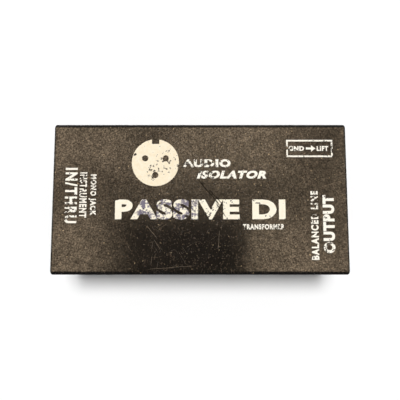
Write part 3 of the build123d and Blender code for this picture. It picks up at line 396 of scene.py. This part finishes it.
def ground_lift_legend(ink):
    """The ground-lift switch's two positions, with an arrow between them, in a frame."""
    level = 21.7
    outer, inner = (20.1, 7.6), (18.7, 6.2)
    words("legend_ground", "GND", (41.8, level), (6.8, 2.15), 0, ink, 0.055, 1.15)
    words("legend_lift", "LIFT", (53.2, level), (5.0, 2.15), 0, ink, 0.055, 1.2)
    outline_print("legend_frame", [rectangle(*outer), rectangle(*inner)], (47.5, level), outer, 0, ink)
    arrow = np.array([(0, -0.35), (2.2, -0.35), (2.2, -1.1), (4, 0), (2.2, 1.1), (2.2, 0.35), (0, 0.35)])
    outline_print("legend_arrow", [arrow], (48.0, level), (4.2, 2.8), 0, ink)


def make_legends():
    """The print on the cover, in generic words: a title, a sign, and a label at each end."""
    cream = screen_ink("screen_ink_cream", "e7d8ba", 1.4, 0.87)
    ivory = screen_ink("screen_ink_ivory", "ebe2cc", 1.4, 0.87)
    white = screen_ink("screen_ink_white", "ede8dc", 1.1, 0.83)
    socket_sign(cream)
    words("legend_title", "PASSIVE DI", (0.1, -4.85), (73.0, 8.7), 0, ivory, 0.05, 1.1)
    words("legend_line_1", "AUDIO", (2.9, 15.2), (20.7, 3.5), 0, white, 0.06, 1.16)
    words("legend_line_2", "ISOLATOR", (13.6, 10.2), (30.0, 3.5), 0, white, 0.06, 1.16, 0.25)
    words("legend_kind", "TRANSFORMER", (27.2, -12.3), (17.8, 2.3), 0, white, 0.045, 1.2)
    words("legend_input", "IN/THRU", (-55.4, 1.2), (23.9, 5.3), -90, white, 0.04, 1.28)
    words("legend_input_line_1", "INSTRUMENT", (-50.2, 1.4), (19.6, 3.2), -90, white, 0.045, 1.22)
    words("legend_input_line_2", "MONO JACK", (-46.2, 1.4), (17.8, 3.2), -90, white, 0.05, 1.2)
    words("legend_output", "OUTPUT", (55.0, -11.1), (24.8, 5.0), 90, white, 0.06, 1.16)
    words("legend_output_line", "BALANCED LINE", (49.0, -11.6), (29.4, 3.2), 90, white, 0.05, 1.26)
    ground_lift_legend(white)


# --- Metals -----------------------------------------------------------------------------


def plated_metal(name, code, dark_code, roughness, grain, depth):
    """A plated metal: fine working marks under the plate, with duller patches of handling."""
    made, add, place = new_material(name)
    marks = stretched(add, place, 0, 6.0, grain)
    fine = add("TexNoise", {"Vector": place, "Scale": per_mm(grain), "Detail": 3.0})
    dull = add("TexNoise", {"Vector": place, "Scale": per_mm(7.0), "Detail": 3.0, "Roughness": 0.6})
    colour = add("MixRGB", (add("MapRange", (dull, 0.4, 0.62)), linear(code), linear(dark_code)))
    uneven = add("Math", (dull, 0.6), operation="MULTIPLY")
    uneven = add("Math", (fine, 0.4, uneven), operation="MULTIPLY_ADD")
    rough = add("MapRange", (uneven, 0.3, 0.7, roughness * 0.75, roughness * 1.35))
    relief = add("Bump", {"Height": fine, "Distance": 0.6 * depth * MM})
    relief = add("Bump", {"Height": marks, "Distance": depth * MM, "Normal": relief})
    shade(add, colour, rough, relief, Metallic=1.0)
    return made


def turned_metal(name, code, dark_code, roughness, y, z, pitch):
    """A bright plated turning: fine rings from the lathe about its own axis, at this y and z (metres)."""
    made, add, place = new_material(name)
    centred = add("Mapping", {"Vector": place, "Location": (0, -y, -z), "Scale": (0, 1, 1)})
    radius = add("VectorMath", (centred,), "Value", operation="LENGTH")
    turns = add("Math", (radius, 2 * pi * per_mm(pitch)), operation="MULTIPLY")
    rings = add("Math", (turns,), operation="SINE")
    smear = add("TexNoise", {"Vector": place, "Scale": per_mm(3.0), "Detail": 3.0, "Roughness": 0.6})
    rough = add("MapRange", (smear, 0.3, 0.7, roughness * 0.7, roughness * 1.5))
    colour = add("MixRGB", (add("MapRange", (smear, 0.4, 0.75)), linear(code), linear(dark_code)))
    relief = add("Bump", {"Height": smear, "Distance": 0.01 * MM})
    relief = add("Bump", {"Height": rings, "Distance": 0.004 * MM, "Normal": relief})
    shade(add, colour, rough, relief, Metallic=1.0)
    return made


def winding(name, code, dark_code, pitch):
    """Enamelled copper wire in close turns, drawn as ribs one wire apart."""
    made, add, place = new_material(name)
    height = add("SeparateXYZ", (place,), "Z")
    turns = add("Math", (height, 2 * pi * per_mm(pitch)), operation="MULTIPLY")
    ribs = add("Math", (add("Math", (turns,), operation="SINE"),), operation="ABSOLUTE")
    varnish = add("TexNoise", {"Vector": place, "Scale": per_mm(2.0)})
    colour = add("MixRGB", (add("MapRange", (varnish, 0.35, 0.7)), linear(code), linear(dark_code)))
    rough = add("MapRange", (varnish, 0.3, 0.7, 0.22, 0.4))
    shade(add, colour, rough, add("Bump", {"Height": ribs, "Distance": pitch / 3 * MM}), Metallic=1.0)
    return made


def lamination_steel():
    """Silicon steel laminations, annealed blue-black, paler in random patches, with rust freckles."""
    made, add, place = new_material("lamination_steel")
    scale = add("TexNoise", {"Vector": place, "Scale": per_mm(2.5), "Detail": 4.0, "Roughness": 0.6})
    freckles = add("TexNoise", {"Vector": place, "Scale": per_mm(1.1), "Detail": 4.0, "Roughness": 0.7})
    rust = add("MapRange", (freckles, 0.62, 0.70, 0, 0.6))
    steel = add("MixRGB", (add("MapRange", (scale, 0.35, 0.7)), linear("3a3c40"), linear("6a6a68")))
    colour = add("MixRGB", (rust, steel, linear("5b3a22")))
    rough = add("MapRange", (scale, 0.3, 0.7, 0.42, 0.6))
    shade(add, colour, rough, add("Bump", {"Height": scale, "Distance": 0.02 * MM}), Metallic=1.0)
    return made


# --- Plastics, rubber and laminates --------------------------------------------------------


def moulded(name, code, worn_code, roughness, texture, depth, IOR=1.5):
    """A moulding with a fine spark-eroded texture, a little shinier and greyer where it is touched."""
    made, add, place = new_material(name)
    fine = add("TexNoise", {"Vector": place, "Scale": per_mm(texture), "Detail": 3.0, "Roughness": 0.6})
    broad = add("TexNoise", {"Vector": place, "Scale": per_mm(5.0)})
    colour = add("MixRGB", (add("MapRange", (broad, 0.4, 0.7)), linear(code), linear(worn_code)))
    rough = add("MapRange", (broad, 0.3, 0.7, roughness * 1.15, roughness * 0.8))
    shade(add, colour, rough, add("Bump", {"Height": fine, "Distance": depth * MM}), IOR=IOR)
    return made


def foot_rubber():
    """Moulded black rubber: matt, with a grey bloom and a little lint."""
    made, add, place = new_material("foot_rubber")
    bloom = add("TexNoise", {"Vector": place, "Scale": per_mm(4.0), "Detail": 4.0, "Roughness": 0.65})
    specks = add("TexNoise", {"Vector": place, "Scale": per_mm(0.6)})
    grain = add("TexNoise", {"Vector": place, "Scale": per_mm(0.3), "Detail": 3.0})
    lint = add("MapRange", (specks, 0.68, 0.74, 0, 0.4))
    skin = add("MixRGB", (add("MapRange", (bloom, 0.4, 0.7)), linear("17171a"), linear("2b2a29")))
    colour = add("MixRGB", (lint, skin, linear("8d8a84")))
    rough = add("MapRange", (bloom, 0.3, 0.7, 0.7, 0.92))
    shade(add, colour, rough, add("Bump", {"Height": grain, "Distance": 0.03 * MM}), IOR=1.52)
    return made


def laminate(name, code, fibre_code):
    """Paper laminate, punched from sheet: a glossy brown resin with paper fibres in it."""
    made, add, place = new_material(name)
    fibres = stretched(add, place, 12, 3.0, 0.25, 3.0)
    colour = add("MixRGB", (add("MapRange", (fibres, 0.35, 0.65)), linear(code), linear(fibre_code)))
    rough = add("MapRange", (fibres, 0.3, 0.7, 0.34, 0.5))
    shade(add, colour, rough, add("Bump", {"Height": fibres, "Distance": 0.01 * MM}), IOR=1.6)
    return made


def insulation(name, code):
    """Extruded PVC insulation: smooth and softly glossy, with a faint haze and ripple from the die."""
    made, add, place = new_material(name)
    haze = add("TexNoise", {"Vector": place, "Scale": per_mm(2.5)})
    ripple = add("TexNoise", {"Vector": place, "Scale": per_mm(0.5)})
    faded = add("Math", (haze, 0.25), operation="MULTIPLY")
    colour = add("MixRGB", (faded, linear(code), linear("d8d2c4")))
    rough = add("MapRange", (haze, 0.3, 0.7, 0.3, 0.42))
    shade(add, colour, rough, add("Bump", {"Height": ripple, "Distance": 0.008 * MM}), IOR=1.53)
    return made


def finish_nodes():
    """Gives every CAD node its material, by the record's material slot."""
    finishes = {
        # Black powder coat: sandy, half gloss, scratched on top.
        "case_paint": powder_coat(),
        # Bright zinc on steel screws, nuts and brackets: cool grey, finely scuffed.
        "zinc_steel": plated_metal("bright_zinc_steel", "c9c8c2", "9d9a90", 0.3, 0.25, 0.01),
        "foot_rubber": foot_rubber(),
        # Bright nickel: warm, and the shiniest of the plates.
        "nickel": plated_metal("bright_nickel", "cfc8ba", "a69c88", 0.18, 0.4, 0.004),
        # Satin nickel over a zinc casting: greyer and duller, with blasted grain.
        "satin_nickel": plated_metal("satin_nickel_casting", "b9b3a6", "8f897c", 0.36, 0.3, 0.012),
        "phenolic": laminate("paper_phenolic", "6a3c1c", "8a552b"),
        # Hot tin on brass tags: pale, uneven, yellower where it is thin.
        "tinned_brass": plated_metal("tinned_brass", "cbc6b4", "a8996f", 0.3, 0.5, 0.01),
        # Rolled nickel silver: yellowish and bright.
        "spring_metal": plated_metal("nickel_silver_strip", "c9bfa4", "9c8f6e", 0.22, 0.3, 0.006),
        "insert_plastic": moulded("glass_filled_nylon", "141416", "1d1d1f", 0.5, 0.35, 0.012, 1.53),
        # Silver plate: nearly white, tarnished straw in patches.
        "contact_silver": plated_metal("silver_plated_brass", "dcd7ca", "a79a80", 0.16, 0.4, 0.003),
        "lever_plastic": moulded("black_acetal", "0f0f11", "232323", 0.38, 0.3, 0.01, 1.48),
        # Drawn spring wire: dark grey and smooth.
        "spring_steel": plated_metal("music_wire", "8f8f90", "5f5d5a", 0.25, 0.2, 0.004),
        "core_steel": lamination_steel(),
        "bobbin_nylon": moulded("natural_nylon", "ddd4bd", "cfc4a6", 0.42, 0.5, 0.01, 1.53),
        "primary_copper": winding("enamelled_copper_fine", "b5562a", "5c2410", 0.18),
        "secondary_copper": winding("enamelled_copper", "c56a35", "5c2410", 0.26),
        # Polyester film tape: amber, smooth and shiny, with soft wrinkles.
        "polyester_tape": moulded("polyester_tape", "d9a520", "c58f12", 0.25, 1.5, 0.02, 1.57),
        "insulation_white": insulation("white_pvc", "e8e4da"),
        "insulation_black": insulation("black_pvc", "161616"),
        "insulation_red": insulation("red_pvc", "a81c16"),
        "insulation_blue": insulation("blue_pvc", "1d4aa0"),
        "insulation_green": insulation("green_pvc", "1c7a3c"),
        "insulation_yellow": insulation("yellow_pvc", "dcb41e"),
    }
    slots = {part["node"]: part["material_slot"] for part in frame["record"]["subparts"]}
    for name, piece in frame["nodes"].items():
        piece.material_slots[0].material = finishes[slots[name]]
    for jack in ("input_jack", "thru_jack"):
        low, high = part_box(jack + "_bushing")
        middle = (low + high) / 2
        name = jack + "_turned_nickel"
        rings = turned_metal(name, "d3ccbe", "8f8672", 0.16, middle.y, middle.z, 0.28)
        for part in ("_bushing", "_nut", "_washer"):
            frame["nodes"][jack + part].material_slots[0].material = rings


# --- Studio -----------------------------------------------------------------------------


def flat_sheet(name, low, high, z, material):
    """A level rectangle of the studio, between two corners."""
    corners = [(low[0], low[1], z), (high[0], low[1], z), (high[0], high[1], z), (low[0], high[1], z)]
    mesh = bpy.data.meshes.new(name)
    mesh.from_pydata(corners, [], [(0, 1, 2, 3)])
    mesh.materials.append(material)
    sheet = bpy.data.objects.new(name, mesh)
    bpy.context.scene.collection.objects.link(sheet)
    return sheet


def make_floor():
    """A pale seamless floor. Gloss doesn't see it, so the dark case keeps its dark edges."""
    paper, add, _ = new_material("pale_paper")
    shade(add, linear("f4f4f4"), 0.9, Specular_IOR_Level=0.0)
    floor = flat_sheet("floor", (-4, -4), (4, 4), floor_height, paper)
    floor.visible_glossy = False


def dim_patch(add, place, x, y, wide, deep, depth):
    """A soft oval where the ceiling is darker: its depth at the middle, fading to nothing at its rim."""
    inputs = {"Vector": place, "Location": (x * MM, y * MM, 0), "Scale": (wide * MM, deep * MM, 1)}
    own = add("Mapping", inputs, vector_type="TEXTURE")
    flat = add("VectorMath", (own, (1, 1, 0)), operation="MULTIPLY")
    out = add("VectorMath", (flat,), "Value", operation="LENGTH")
    return add("MapRange", (out, 0, 1, 1 - depth, 1), interpolation_type="SMOOTHSTEP")


def make_overhead():
    """A warm glowing ceiling, seen only in gloss, with a dark flag over the near middle of the case."""
    glow, add, place = new_material("overhead_glow")
    across = add("SeparateXYZ", (place,), "X")
    along = across.node.outputs["Y"]
    left = add("MapRange", (across, *FLAG_LEFT))
    right = add("MapRange", (across, *FLAG_RIGHT, 1, 0))
    far = add("MapRange", (along, *FLAG_FAR, 1, 0))
    shaded = add("Math", (add("Math", (left, right), operation="MULTIPLY"), far), operation="MULTIPLY")
    strength = add("MapRange", (shaded, 0, 1, OVERHEAD_STRENGTH, OVERHEAD_STRENGTH * (1 - FLAG_DEPTH)))
    for patch in DIM_PATCHES:
        strength = add("Math", (strength, dim_patch(add, place, *patch)), operation="MULTIPLY")
    lamp = add("Emission", {"Color": linear("ffe2bd"), "Strength": strength})
    add("OutputMaterial", {"Surface": lamp})
    ceiling = flat_sheet("overhead", OVERHEAD_LOW, OVERHEAD_HIGH, OVERHEAD_HEIGHT, glow)
    ceiling.visible_camera = False
    ceiling.visible_diffuse = False
    ceiling.visible_shadow = False
    ceiling.visible_transmission = False


def make_sun():
    """A broad soft sun, leaning from the far side, so that the shadow falls just past the near side."""
    sun = bpy.data.lights.new("key", "SUN")
    sun.energy = SUN_STRENGTH
    sun.angle = radians(SUN_SPREAD)
    key = bpy.data.objects.new("key", sun)
    key.rotation_euler = (radians(SUN_LEAN), 0, 0)
    key.visible_glossy = False
    bpy.context.scene.collection.objects.link(key)


def make_world():
    """White to the eye and a little light from all round. Gloss sees a dim room instead: pale windows
    and table past each end, less past the far side, least past the near side and none straight below."""
    world = bpy.data.worlds.new("studio")
    world.use_nodes = True
    world.node_tree.nodes.clear()
    add = partial(node, world.node_tree)
    direction = add("TexCoord", give="Generated")
    sideways = add("SeparateXYZ", (direction,), "Y")
    up = sideways.node.outputs["Z"]
    shine = add("MapRange", (sideways, -0.8, -0.35, 0.15, 1))
    for axis, begin, end, first, last in (
        (sideways, 0.35, 0.8, 1, 0.5),  # the far side is dimmer than the ends
        (up, 0.42, 0.52, 0.75, 0.03),  # the windows stop above the horizon
        (up, -0.12, 0, 0.45, 1),  # the table is dimmer than the windows
        (up, -0.6, -0.38, 0.01, 1),  # and hidden by the case, straight below
    ):
        share = add("MapRange", (axis, begin, end, first, last))
        shine = add("Math", (shine, share), operation="MULTIPLY")
    glossy = add("LightPath", give="Is Glossy Ray")
    seen = glossy.node.outputs["Is Camera Ray"]
    glow = add("Mix", {0: glossy, 2: ROOM_LIGHT, 3: shine})
    glow = add("Mix", {0: seen, 2: glow, 3: 1.0})
    sky = add("Background", {"Color": linear("ffffff"), "Strength": glow})
    add("OutputWorld", {"Surface": sky})
    bpy.context.scene.world = world


def make_camera():
    """Nearly overhead, leaning a little to the near long side."""
    target = Vector((0, CAMERA_AIM, top))
    lean = radians(CAMERA_ELEVATION)
    data = bpy.data.cameras.new("camera")
    data.lens = CAMERA_LENS
    data.clip_start = 10 * MM
    camera = bpy.data.objects.new("camera", data)
    camera.location = target + CAMERA_DISTANCE * Vector((0, -cos(lean), sin(lean)))
    camera.rotation_euler = (pi / 2 - lean, 0, 0)
    bpy.context.scene.collection.objects.link(camera)
    bpy.context.scene.camera = camera


make_camera()
make_world()
make_sun()
make_floor()
make_overhead()
finish_nodes()
make_legends()

bpy.context.scene.view_settings.view_transform = "Standard"
